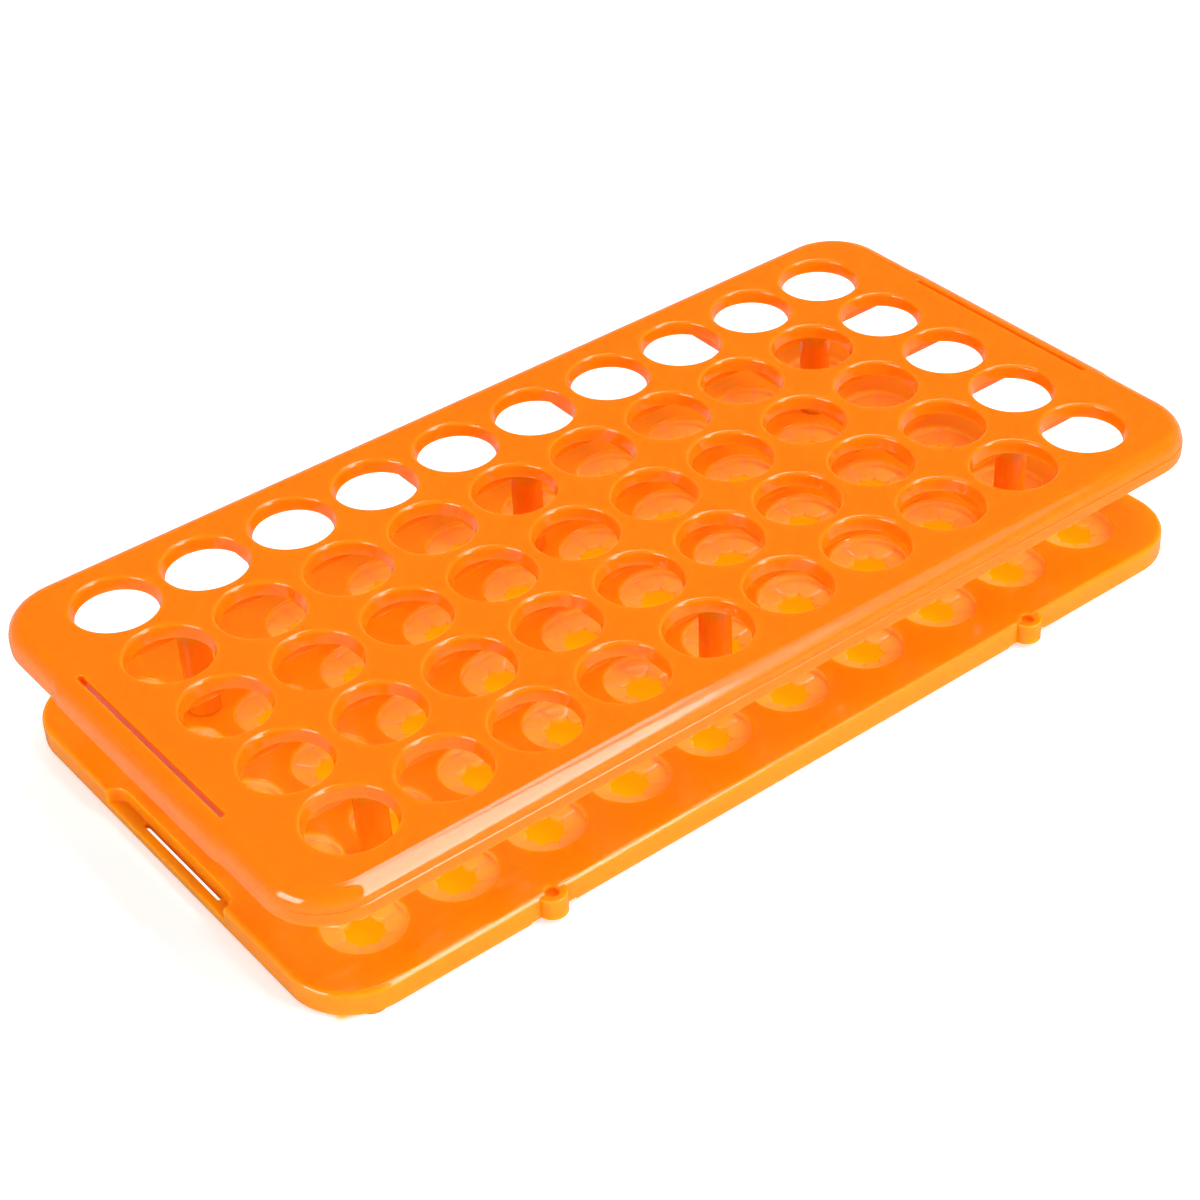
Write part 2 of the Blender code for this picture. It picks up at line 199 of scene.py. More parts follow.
# Floor
FLOOR_REACH = 2.0
FLOOR_ROUGHNESS = 0.9
FLOOR_COLOUR = (0.95, 0.95, 0.95)
MIRRORED_FLOOR_COLOUR = (0.45, 0.45, 0.45)   # in the plastic's reflections
FLOOR_LIFT = 0.36              # keeps the floor white in the picture
GLOW_COLOUR = (1.0, 0.36, 0.002)             # painted orange light on the floor below the rack, which also glows and lights the plates from beneath
GLOW_LEVEL = 0.7
GLOW_START = 0.0020            # the painted light begins this far inside the lower plate's outline
GLOW_FULL = 0.0050
SLOT_LIGHT_INSETS = (0.0082, 0.0072, 0.0032, 0.0022)  # painted light: a pale strip on the floor below a pocket's slot, where the rack's shade falls, from the end
SLOT_LIGHT_ENDS = (0.022, 0.025)             # where the strip fades out along Y
SLOT_LIFT = 0.6

# Room
HORIZON_BAND = (0.34, 0.50)    # from the pale horizon up to the dimmer room above
OVERHEAD_LEVEL = 0.25
MIRRORED_LEVEL = 0.25          # the room is darker in the plastic's reflections

# Lamps: direction from the rack, the line that the second side follows, size, radiance
LAMP_AIM = Vector((0.0, 0.0, 0.02))
LAMP_DISTANCE = 3.0
RIGHT_SOFTBOX = ((0.38, -0.595, 0.709), (0.0, 0.766, 0.643), (0.72, 6.6), 7.2)
REFLECTED_LAMPS = {
    "right_overhead_glint": ((0.38, 0.325, 0.866), (0.0, 0.936, -0.351), (0.72, 1.2), 3.6),
    "right_soft_glint": ((0.50, -0.42, 0.758), (0.0, 0.875, 0.485), (0.30, 9.0), 1.7),
    "right_faint_glint": ((0.585, -0.393, 0.709), (0.0, 0.875, 0.485), (0.42, 9.0), 1.0),
    "left_glint": ((-0.9, 0.0, 0.4), (0.0, 1.0, 0.0), (1.4, 1.8), 8.0),
}
PANELS = {
    "left_panel": ((-0.92, 0.0, 0.28), (0.0, 1.0, 0.0), (1.6, 3.6), 1.5),
    "ceiling_panel": ((0.0, 0.1, 1.0), (1.0, 0.0, 0.0), (5.0, 5.0), 0.18),
    "front_panel": ((-0.5, -0.7, 0.45), (1.0, 0.0, 0.0), (2.5, 4.0), 0.7),
    "back_panel": ((0.5, 0.8, 0.30), (1.0, 0.0, 0.0), (1.6, 5.0), 2.4),
}

# The photograph's viewpoint
CAMERA_PLACE = (-0.27544, -0.36387, 0.35718)
CAMERA_AZIMUTH = -36.579
CAMERA_ELEVATION = 37.284
CAMERA_ROLL = -2.922
CAMERA_LENS = 77.45


def column_x(column):
    return (column - (COLUMNS - 1) / 2) * PITCH


def row_y(row):
    return (row - (ROWS - 1) / 2) * PITCH


def after_columns(count):
    """Line halfway between two columns, after this many of them."""
    return column_x(count) - PITCH / 2


def after_rows(count):
    """Line halfway between two rows, after this many of them."""
    return row_y(count) - PITCH / 2


def tube_places():
    return [(column_x(column), row_y(row)) for row in range(ROWS) for column in range(COLUMNS)]


def post_middle(name):
    low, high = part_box(name)
    return (low.x + high.x) / 2, (low.y + high.y) / 2


def post_places():
    return [post_middle(name) for name in POST_NAMES]


def lug_places():
    reach = BASE_WIDTH / 2 - LUG_INSET
    return [(after_columns(count), side * reach) for count in LUG_COLUMNS for side in (-1, 1)]


def along_both_sides(row, reach):
    """Places along the front side, and the same half a turn round along the back."""
    return [(-side * x, side * reach) for side in (-1, 1) for x in row]


def foot_places():
    row = (*MIDDLE_FEET, BASE_LENGTH / 2 - RIGHT_FOOT_INSET)
    return along_both_sides(row, BASE_WIDTH / 2 - FOOT_INSET - FOOT_RADIUS)


def corner_foot_places():
    reach = BASE_WIDTH / 2 - FOOT_INSET - CORNER_FOOT_RADIUS
    return along_both_sides((CORNER_FOOT_INSET - BASE_LENGTH / 2,), reach)


def quarter(steps):
    """Angles of a quarter turn, in even steps."""
    return [step / steps * math.pi / 2 for step in range(steps + 1)]


def round_below(reach, z, size, outward, steps=SOFT_STEPS):
    """Quarter round that starts at height z and ends at the reach, as reaches and heights.

    outward is 1 where the shape widens towards z, as a hole's lip does, and -1 where it narrows.
    """
    return [(reach + outward * size * (1 - math.sin(a)), z - size * (1 - math.cos(a)))
            for a in quarter(steps)]


def round_above(reach, z, size, outward, steps=SOFT_STEPS):
    """The same at the lower end: it starts at the reach and ends at height z."""
    return [(reach + outward * size * (1 - math.cos(a)), z + size * (1 - math.sin(a)))
            for a in quarter(steps)]


def circle(middle, radius, z, sides):
    """Ring of points at height z."""
    x, y = middle
    turn = 2 * math.pi / sides
    return [(x + radius * math.cos(i * turn), y + radius * math.sin(i * turn), z) for i in range(sides)]


def turned(middle, profile, sides):
    """Rings of a round shape from its radii and heights, top first."""
    return [circle(middle, radius, z, sides) for radius, z in profile]


def slot(middle, length, width, z):
    """Outline with round ends, long along Y."""
    x, y = middle
    radius = width / 2
    steps = 2 * SOFT_STEPS
    ring = []
    for end, side in enumerate((1, -1)):
        for step in range(steps + 1):
            angle = (end + step / steps) * math.pi
            centre_y = y + side * (length / 2 - radius)
            ring.append((x + radius * math.cos(angle), centre_y + radius * math.sin(angle), z))
    return ring


def swelling(out):
    """How the end of the upper plate bulges beside its slot: places along Y and how far out."""
    near = END_SWELL_LENGTH / 2
    steps = 2 * SOFT_STEPS
    ramp = [(near + END_SWELL_RAMP * (1 - i / steps), out * (1 - math.cos(math.pi * i / steps)) / 2)
            for i in range(steps + 1)]
    return [(-y, rise) for y, rise in ramp] + [(y, rise) for y, rise in reversed(ramp)]


def plate_outline(length, width, corner, z, swell=None):
    """Rectangle with round corners, whose two ends may swell out."""
    ring = []
    for corner_number, (side_x, side_y) in enumerate(((1, 1), (-1, 1), (-1, -1), (1, -1))):
        centre_x = side_x * (length / 2 - corner)
        centre_y = side_y * (width / 2 - corner)
        for step in range(CORNER_STEPS + 1):
            angle = (corner_number + step / CORNER_STEPS) * math.pi / 2
            ring.append((centre_x + corner * math.cos(angle), centre_y + corner * math.sin(angle), z))
        if swell is not None and corner_number % 2:
            ring += [(side_x * (length / 2 + out), side_x * y, z) for y, out in swelling(swell)]
    return ring


def cup_floor(radius):
    """Height of a cup's floor at a distance from the cup's middle."""
    return BASE_FACE - CUP_DEPTH - CUP_DISH * (1 - (radius / CUP_RADIUS) ** 2)


def finger_opening(middle, grow, height):
    """Star outline left open between the round tips of the fingers.

    height gives z at a distance from the middle, and grow widens the opening all round.
    """
    x, y = middle
    tip = FINGER_TIP_RADIUS - grow
    centre = FINGER_TIP_REACH + FINGER_TIP_RADIUS
    between = 2 * math.pi / FINGERS
    lean = math.acos(centre * math.sin(between / 2) / tip)
    sweep = math.pi / 2 - between / 2 - lean
    ring = []
    for finger in range(FINGERS):
        middle_line = (finger + 0.5) * between
        for step in range(TIP_STEPS):
            angle = middle_line + math.pi + sweep * (1 - 2 * step / TIP_STEPS)
            u = centre * math.cos(middle_line) + tip * math.cos(angle)
            v = centre * math.sin(middle_line) + tip * math.sin(angle)
            ring.append((x + u, y + v, height(math.hypot(u, v))))
    return ring


def add_solid(mesh, rings):
    """Join rings, listed from the top down, into a closed solid with a face at each end."""
    loops = [[mesh.verts.new(point) for point in ring] for ring in rings]
    for upper, lower in zip(loops, loops[1:]):
        for i in range(len(upper)):
            mesh.faces.new((upper[i - 1], lower[i - 1], lower[i], upper[i]))
    mesh.faces.new(loops[0])
    mesh.faces.new(reversed(loops[-1]))


def make_object(name, mesh):
    data = bpy.data.meshes.new(name)
    mesh.to_mesh(data)
    mesh.free()
    thing = bpy.data.objects.new(name, data)
    bpy.context.scene.collection.objects.link(thing)
    return thing


def make_rounds(name, places, profile, sides):
    """One round shape at each place, as one object."""
    mesh = bmesh.new()
    for middle in places:
        add_solid(mesh, turned(middle, profile, sides))
    return make_object(name, mesh)


def combine(body, tool, operation):
    """Join the tool to the body or cut it away, and remove the tool."""
    modifier = body.modifiers.new(tool.name, "BOOLEAN")
    modifier.operation = operation
    modifier.solver = "EXACT"
    modifier.object = tool
    graph = bpy.context.evaluated_depsgraph_get()
    result = bpy.data.meshes.new_from_object(body.evaluated_get(graph))
    body.modifiers.clear()
    before = body.data
    body.data = result
    bpy.data.meshes.remove(before)
    bpy.data.objects.remove(tool)


def finish_surface(thing):
    """Smooth the rounded faces, keep flat faces flat and real edges crisp."""
    thing.data.shade_smooth()
    thing.data.set_sharp_from_angle(angle=CREASE_ANGLE)
    weighted = thing.modifiers.new("flat_faces_stay_flat", "WEIGHTED_NORMAL")
    weighted.keep_sharp = True
    weighted.weight = 100


def plate_shell(name, size, corner, levels, edge_radius, wall, ledge=0.0, swell=None):
    """Plate with a rounded top edge and a skirt with soft rims, open underneath.

    ledge is a fine step below the rounding of the long sides, and swell the bulge of the ends.
    """
    length, width = size
    face, under, low = levels
    rim = wall / 5

    def ring(inset, z, share=1.0, step=0.0):
        out = None if swell is None else swell * share
        return plate_outline(length - 2 * inset, width - 2 * (inset + step), corner - inset, z, out)

    rings = []
    for angle in quarter(EDGE_STEPS):
        inset = edge_radius * (1 - math.sin(angle))
        rings.append(ring(inset, face - edge_radius * (1 - math.cos(angle)), math.sin(angle), ledge))
    if ledge:
        below = face - edge_radius
        for angle in quarter(SOFT_STEPS)[:-1]:
            z = below - ledge * (1 - math.cos(angle)) - NEAR
            rings.append(ring(0.0, z, 1.0, ledge * (LEDGE_TOP - math.sin(angle))))
        rings.append(ring(0.0, below - ledge))
    rings += [ring(inset, z) for inset, z in round_above(0.0, low, rim, 1)]
    for angle in quarter(SOFT_STEPS):
        rings.append(ring(wall - rim * (1 - math.sin(angle)), low + rim * (1 - math.cos(angle))))
    for angle in quarter(SOFT_STEPS):
        rings.append(ring(wall + rim * (1 - math.cos(angle)), under - rim * (1 - math.sin(angle))))
    mesh = bmesh.new()
    add_solid(mesh, rings)
    return make_object(name, mesh)


def add_rib(mesh, start, end, high, low, thickness):
    """Rib between two points of the plan, thinner towards its soft lower edge."""
    start = Vector(start)
    end = Vector(end)
    side = (end - start).normalized().orthogonal() * thickness / 2
    soft = thickness / 6

    def ring(share, z):
        corners = (start - side * share, end - side * share, end + side * share, start + side * share)
        return [(point.x, point.y, z) for point in corners]

    levels = (high, low + 2 * soft, low + soft, low)
    rings = [ring(share, z) for share, z in zip(RIB_SHARES, levels)]
    if (end - start).cross(side) < 0:
        rings = [list(reversed(points)) for points in rings]
    add_solid(mesh, rings)


def make_ribs():
    """Ribs along X between all rows, and along Y after every second column."""
    reach_x = TOP_LENGTH / 2 - END_SLOT_INSET - END_SLOT_WIDTH / 2 - RIB_END_GAP
    reach_y = TOP_WIDTH / 2 - TOP_SKIRT_WALL / 2
    high = TOP_UNDER + OVERRUN
    along = bmesh.new()
    for rows in range(1, ROWS):
        y = after_rows(rows)
        add_rib(along, (-reach_x, y), (reach_x, y), high, RIB_LOW, RIB_THICKNESS)
    across = bmesh.new()
    for columns in range(CROSS_RIB_STEP, COLUMNS, CROSS_RIB_STEP):
        x = after_columns(columns)
        add_rib(across, (x, -reach_y), (x, reach_y), high, RIB_LOW, RIB_THICKNESS)
    return make_object("ribs_along", along), make_object("ribs_across", across)


def tube_hole_profile():
    """Cutting shape of a tube hole: rolled lip, slanted wall and a small soft edge below."""
    profile = [(HOLE_MOUTH + NEAR, TOP_FACE + OVERRUN)]
    for step in range(LIP_STEPS + 1):
        angle = (math.pi / 2 - HOLE_SLANT) * step / LIP_STEPS
        radius = HOLE_MOUTH - HOLE_LIP * math.sin(angle)
        profile.append((radius, TOP_FACE - HOLE_LIP * (1 - math.cos(angle))))
    profile += round_above(HOLE_RADIUS, TOP_UNDER, HOLE_LOWER_LIP, 1)
    profile.append((HOLE_RADIUS + HOLE_LOWER_LIP + NEAR, TOP_UNDER - OVERRUN))
    return profile


def end_cutter(name, from_middle, rings, shift=0.0):
    """A slot near each end of a plate.

    Each ring gives how far its inner and its outer side lie from the slot's middle line, how long
    it is and its height. shift moves the slot to the front on the left and to the back on the right.
    """
    mesh = bmesh.new()
    for side in (-1, 1):
        outlines = []
        for inner, outer, length, z in rings:
            middle = (side * (from_middle + (outer - inner) / 2), side * shift)
            outlines.append(slot(middle, length, inner + outer, z))
        add_solid(mesh, outlines)
    return make_object(name, mesh)


def slot_rings(length, width, face, under, inner_lip, outer_lip):
    """Rings of a slot's cutting shape whose two long sides have lips of their own."""
    def ring(share, z, more=0.0):
        return (width / 2 + inner_lip * share + more, width / 2 + outer_lip * share + more,
                length + 2 * inner_lip * share + 2 * more, z)

    rings = [ring(1.0, face + OVERRUN, NEAR)]
    drop = (inner_lip + outer_lip) / 2
    rings += [ring(1 - math.sin(a), face - drop * (1 - math.cos(a))) for a in quarter(2 * SOFT_STEPS)]
    rings.append(ring(0.0, under - OVERRUN))
    return rings


def make_upper_plate():
    """The upper plate: shell, ribs, sockets, tube holes, end slots and sink marks."""
    plate = plate_shell("upper_plate", (TOP_LENGTH, TOP_WIDTH), TOP_CORNER_RADIUS,
                        (TOP_FACE, TOP_UNDER, TOP_LOW), TOP_EDGE_RADIUS, TOP_SKIRT_WALL,
                        TOP_SKIRT_LEDGE, END_SWELL)
    for ribs in make_ribs():
        combine(plate, ribs, "UNION")
    boss = [(SOCKET_WALL_RADIUS, TOP_UNDER + OVERRUN), (SOCKET_WALL_RADIUS, SOCKET_LOW)]
    combine(plate, make_rounds("bosses", post_places(), boss, POST_SIDES), "UNION")
    holes = make_rounds("tube_holes", tube_places(), tube_hole_profile(), HOLE_SIDES)
    combine(plate, holes, "DIFFERENCE")
    rings = slot_rings(END_SLOT_LENGTH, END_SLOT_WIDTH, TOP_FACE, TOP_UNDER,
                       END_SLOT_INNER_LIP, END_SLOT_OUTER_LIP)
    combine(plate, end_cutter("end_slots", TOP_LENGTH / 2 - END_SLOT_INSET, rings), "DIFFERENCE")
    sink = [(SINK_RADIUS, TOP_FACE + OVERRUN)]
    sink += [(SINK_RADIUS * share, TOP_FACE - SINK_DEPTH * (1 - share ** 2)) for share in SINK_SHARES]
    combine(plate, make_rounds("sink_marks", post_places(), sink, HOLE_SIDES), "DIFFERENCE")
    finish_surface(plate)
    return plate


def cup_profile():
    """Cutting shape of a cup: soft lip, wall, fillet and a slightly dished floor."""
    profile = [(CUP_RADIUS + CUP_LIP + NEAR, BASE_FACE + OVERRUN)]
    profile += round_below(CUP_RADIUS, BASE_FACE, CUP_LIP, 1)
    foot = CUP_RADIUS - CUP_FILLET
    profile += [(foot + CUP_FILLET * math.cos(a), cup_floor(foot) + CUP_FILLET * (1 - math.sin(a)))
                for a in quarter(SOFT_STEPS)]
    profile += [(foot * share, cup_floor(foot * share)) for share in CUP_FLOOR_SHARES]
    return profile


def make_fingers_cutter():
    """The star opening in the floor of every cup."""
    mesh = bmesh.new()
    for middle in tube_places():
        add_solid(mesh, [
            finger_opening(middle, FINGER_EDGE + NEAR, lambda radius: BASE_FACE - CUP_DEPTH + OVERRUN),
            finger_opening(middle, FINGER_EDGE, lambda radius: cup_floor(radius) + NEAR),
            finger_opening(middle, FINGER_EDGE / 3, lambda radius: cup_floor(radius) - FINGER_EDGE / 3),
            finger_opening(middle, 0.0, lambda radius: cup_floor(radius) - FINGER_EDGE),
            finger_opening(middle, 0.0, lambda radius: BASE_UNDER - OVERRUN),
        ])
    return make_object("finger_openings", mesh)


def make_groove_cutter():
    """The shallow grooves between the fingers of every cup."""
    mesh = bmesh.new()
    stations = [GROOVE_START + (GROOVE_END - GROOVE_START) * step / SOFT_STEPS
                for step in range(SOFT_STEPS + 1)]
    for x, y in tube_places():
        for groove in range(FINGERS):
            angle = groove * 2 * math.pi / FINGERS
            out = Vector((math.cos(angle), math.sin(angle)))
            side = Vector((-out.y, out.x)) * GROOVE_WIDTH / 2
            rings = []
            for along in stations:
                floor = cup_floor(along)
                ring = []
                for across, up in GROOVE_SECTION:
                    point = out * along + side * across
                    ring.append((x + point.x, y + point.y, floor + GROOVE_DEPTH * up))
                rings.append(ring)
            add_solid(mesh, rings)
    return make_object("finger_grooves", mesh)


def make_pocket_floors():
    """Thick floor and inner wall of the pocket at each end of the lower plate."""
    mesh = bmesh.new()
    outer = BASE_LENGTH / 2 - BASE_SKIRT_WALL / 2
    inner = BASE_LENGTH / 2 - POCKET_REACH - POCKET_FLOOR
    half = POCKET_LENGTH / 2 + POCKET_FLOOR
    for side in (-1, 1):
        low, high = sorted((side * inner, side * outer))
        corners = ((low, -half), (high, -half), (high, half), (low, half))
        add_solid(mesh, [[(x, y, z) for x, y in corners] for z in
                         (BASE_UNDER + OVERRUN, BASE_FACE - POCKET_DEPTH - POCKET_FLOOR)])
    return make_object("pocket_floors", mesh)


def pocket_rings():
    """Cutting shape of the pocket: soft lip, straight wall, fillet and floor."""
    floor = BASE_FACE - POCKET_DEPTH

    def ring(grow, z):
        return (POCKET_REACH + grow, POCKET_REACH + grow, POCKET_LENGTH + 2 * grow, z)

    rings = [ring(POCKET_LIP + NEAR, BASE_FACE + OVERRUN)]
    rings += [ring(grow, z) for grow, z in round_below(0.0, BASE_FACE, POCKET_LIP, 1)]
    rings += [ring(grow, z) for grow, z in round_above(0.0, floor, POCKET_FILLET, -1)]
    return rings


def make_rim_edge_cutter():
    """Rounds the edge where the pocket's floor meets the plate's end."""
    mesh = bmesh.new()
    half = POCKET_LENGTH / 2 - POCKET_FILLET
    floor = BASE_FACE - POCKET_DEPTH
    edge = POCKET_RIM_EDGE
    section = [(OVERRUN, OVERRUN), (-edge, OVERRUN)]
    section += round_below(0.0, 0.0, edge, -1, 2 * SOFT_STEPS)
    section.append((OVERRUN, -edge - NEAR))
    for side in (-1, 1):
        ends = [[(side * (BASE_LENGTH / 2 + out), y, floor + up) for out, up in section]
                for y in (-side * half, side * half)]
        add_solid(mesh, ends)
    return make_object("rim_edges", mesh)


def make_notch_cutter():
    """Relief in the lower plate's skirt under each lug."""
    mesh = bmesh.new()
    half = NOTCH_LENGTH / 2
    deep = LUG_RADIUS + BASE_SKIRT_WALL
    for x, y in lug_places():
        rings = []
        for grow, z in ((0.0, BASE_LOW + NOTCH_HEIGHT), (NOTCH_HEIGHT / 2, BASE_LOW + NOTCH_HEIGHT / 2),
                        (NOTCH_HEIGHT / 2, BASE_LOW - OVERRUN)):
            long = half + grow
            rings.append([(x - long, y - deep, z), (x + long, y - deep, z),
                          (x + long, y + deep, z), (x - long, y + deep, z)])
        add_solid(mesh, rings)
    return make_object("notches", mesh)


def soft_bar(radius, high, low, low_edge, top_edge=0.0):
    """Profile of a round bar with a soft lower edge and, if one is given, a soft top edge."""
    upper = round_below(radius, high, top_edge, -1) if top_edge else [(radius, high)]
    return upper + round_above(radius, low, low_edge, -1)


def dimple_profile():
    """Cutting shape of the dimple in a lug's face: rolled lip, wall and flat bottom."""
    face = BASE_FACE - LUG_DROP
    profile = [(LUG_HOLE_RADIUS + LUG_EDGE + NEAR, face + OVERRUN)]
    profile += round_below(LUG_HOLE_RADIUS, face, LUG_EDGE, 1, LIP_STEPS)
    profile.append((LUG_HOLE_RADIUS, face - LUG_HOLE_DEPTH))
    return profile


def make_lower_plate():
    """The lower plate: shell, lugs, feet, cups with their openings, and the pockets at its ends."""
    plate = plate_shell("lower_plate", (BASE_LENGTH, BASE_WIDTH), BASE_CORNER_RADIUS,
                        (BASE_FACE, BASE_UNDER, BASE_LOW), BASE_EDGE_RADIUS, BASE_SKIRT_WALL)
    lug = soft_bar(LUG_RADIUS, BASE_FACE - LUG_DROP, BASE_LOW + NOTCH_HEIGHT / 2, LUG_EDGE, LUG_EDGE)
    combine(plate, make_rounds("lugs", lug_places(), lug, POST_SIDES), "UNION")
    combine(plate, make_notch_cutter(), "DIFFERENCE")
    for name, places, radius in (("feet", foot_places(), FOOT_RADIUS),
                                 ("corner_feet", corner_foot_places(), CORNER_FOOT_RADIUS)):
        foot = soft_bar(radius, BASE_UNDER + OVERRUN, BASE_LOW - FOOT_HEIGHT, FOOT_EDGE)
        combine(plate, make_rounds(name, places, foot, POST_SIDES), "UNION")
    combine(plate, make_rounds("dimples", lug_places(), dimple_profile(), POST_SIDES), "DIFFERENCE")
    combine(plate, make_rounds("cups", tube_places(), cup_profile(), HOLE_SIDES), "DIFFERENCE")
    combine(plate, make_groove_cutter(), "DIFFERENCE")
    combine(plate, make_fingers_cutter(), "DIFFERENCE")
    combine(plate, make_pocket_floors(), "UNION")
    combine(plate, end_cutter("pockets", BASE_LENGTH / 2, pocket_rings()), "DIFFERENCE")
    combine(plate, make_rim_edge_cutter(), "DIFFERENCE")
    pocket_low = BASE_FACE - POCKET_DEPTH
    through = slot_rings(POCKET_SLOT_LENGTH, POCKET_SLOT_WIDTH, pocket_low, pocket_low - POCKET_FLOOR,
                         NEAR, POCKET_SLOT_LIP)
    line = BASE_LENGTH / 2 - POCKET_REACH + POCKET_SLOT_WIDTH / 2 + 2 * NEAR
    combine(plate, end_cutter("pocket_slots", line, through, POCKET_SLOT_SHIFT), "DIFFERENCE")
    finish_surface(plate)
    return plate


def make_post(name):
    """A smooth round post with soft ends, a little slimmer at its head."""
    profile = round_below(POST_RADIUS - POST_TAPER, SOCKET_LOW - NEAR, POST_EDGE, -1)
    profile += round_above(POST_RADIUS, BASE_FACE + NEAR, POST_EDGE, -1)
    mesh = bmesh.new()
    add_solid(mesh, turned(post_middle(name), profile, POST_SIDES))
    post = make_object(name.replace("post_", "round_post_"), mesh)
    finish_surface(post)
    return post


class Nodes:
    """Small helper to place and link shader nodes."""

    def __init__(self, tree):
        self.tree = tree

    def add(self, kind, settings=(), **sockets):
        node = self.tree.nodes.new(kind)
        for key, value in dict(settings).items():
            setattr(node, key, value)
        for key, value in sockets.items():
            self.set(node, key.replace("_", " "), value)
        return node

    def set(self, node, socket, value):
        target = node.inputs[socket]
        if isinstance(value, bpy.types.NodeSocket):
            self.tree.links.new(value, target)
        else:
            target.default_value = value

    def math(self, operation, *values):
        node = self.tree.nodes.new("ShaderNodeMath")
        node.operation = operation
        for index, value in enumerate(values):
            self.set(node, index, value)
        return node.outputs[0]

    def mix(self, factor, first, second):
        """Mix of two colours."""
        node = self.add("ShaderNodeMix", {"data_type": "RGBA"})
        for socket, value in ((0, factor), (6, first), (7, second)):
            self.set(node, socket, value)
        return node.outputs[2]

    def blend(self, factor, first, second):
        """Mix of two numbers."""
        node = self.add("ShaderNodeMix", {"data_type": "FLOAT"})
        for socket, value in ((0, factor), (2, first), (3, second)):
            self.set(node, socket, value)
        return node.outputs[0]

    def ramp(self, value, low, high):
        """0 below low, 1 above high, smooth between."""
        node = self.add("ShaderNodeMapRange", {"interpolation_type": "SMOOTHSTEP"})
        for socket, number in enumerate((value, low, high)):
            self.set(node, socket, number)
        return node.outputs[0]

    def within(self, value, low, high):
        """1 below low, 0 above high, smooth between."""
        return self.math("SUBTRACT", 1.0, self.ramp(value, low, high))


def new_group(name, inputs, outputs):
    """Shader node group with named sockets; inputs and outputs give a name, a kind and a default."""
    group = bpy.data.node_groups.new(name, "ShaderNodeTree")
    for label, kind, default in inputs:
        socket = group.interface.new_socket(label, in_out="INPUT", socket_type=kind)
        socket.default_value = default
    for label, kind in outputs:
        group.interface.new_socket(label, in_out="OUTPUT", socket_type=kind)
    nodes = Nodes(group)
    return group, nodes, nodes.add("NodeGroupInput"), nodes.add("NodeGroupOutput")


def moulded_surface_group():
    """Colour drift, gloss and faint waviness of a moulded plastic surface."""
    colour, value = "NodeSocketColor", "NodeSocketFloat"
    group, nodes, given, out = new_group(
        "Moulded surface",
        [("Colour", colour, (1, 0.2, 0, 1)), ("Deep Colour", colour, (1, 0.1, 0, 1)),
         ("Gloss Roughness", value, 0.15)],
        [("Colour", colour), ("Roughness", value), ("Height", value)])
    place = nodes.add("ShaderNodeTexCoord").outputs["Object"]
    drift = nodes.add("ShaderNodeTexNoise", Vector=place, Scale=DRIFT_SCALE, Detail=2.0).outputs["Fac"]
    waves = nodes.add("ShaderNodeTexNoise", Vector=place, Scale=WAVE_SCALE, Detail=1.0).outputs["Fac"]
    grain = nodes.add("ShaderNodeTexNoise", Vector=place, Scale=GRAIN_SCALE, Detail=2.0).outputs["Fac"]
    deep = nodes.math("MULTIPLY", nodes.ramp(drift, *DRIFT_BAND), DRIFT_SHARE)
    nodes.set(out, "Colour", nodes.mix(deep, given.outputs["Colour"], given.outputs["Deep Colour"]))
    uneven = nodes.math("MULTIPLY_ADD", waves, GLOSS_SWING, -GLOSS_SWING / 2)
    nodes.set(out, "Roughness", nodes.math("ADD", given.outputs["Gloss Roughness"], uneven))
    nodes.set(out, "Height", nodes.math("MULTIPLY_ADD", grain, GRAIN_HEIGHT, waves))
    return group


def tube_place_group():
    """Distance from the middle of the nearest tube place, nearness to a groove, and height."""
    value = "NodeSocketFloat"
    group, nodes, _, out = new_group(
        "Tube place", [], [("Distance", value), ("Groove", value), ("Height", value)])
    place = nodes.add("ShaderNodeTexCoord").outputs["Object"]
    split = nodes.add("ShaderNodeSeparateXYZ", Vector=place)
    offsets = []
    for index, first, count in ((0, column_x(0), COLUMNS), (1, row_y(0), ROWS)):
        away = nodes.math("SUBTRACT", split.outputs[index], first)
        number = nodes.math("ROUND", nodes.math("DIVIDE", away, PITCH))
        number = nodes.math("MINIMUM", nodes.math("MAXIMUM", number, 0.0), count - 1.0)
        offsets.append(nodes.math("MULTIPLY_ADD", number, -PITCH, away))
    across, along = offsets
    squares = nodes.math("MULTIPLY_ADD", across, across, nodes.math("MULTIPLY", along, along))
    distance = nodes.math("SQRT", squares)
    half_finger = math.pi / FINGERS
    turn = nodes.math("WRAP", nodes.math("ARCTAN2", along, across), half_finger, -half_finger)
    aside = nodes.math("MULTIPLY", distance, nodes.math("ABSOLUTE", nodes.math("SINE", turn)))
    nodes.set(out, "Distance", distance)
    nodes.set(out, "Groove", nodes.within(aside, GROOVE_WIDTH / 5, GROOVE_WIDTH))
    nodes.set(out, "Height", split.outputs[2])
    return group


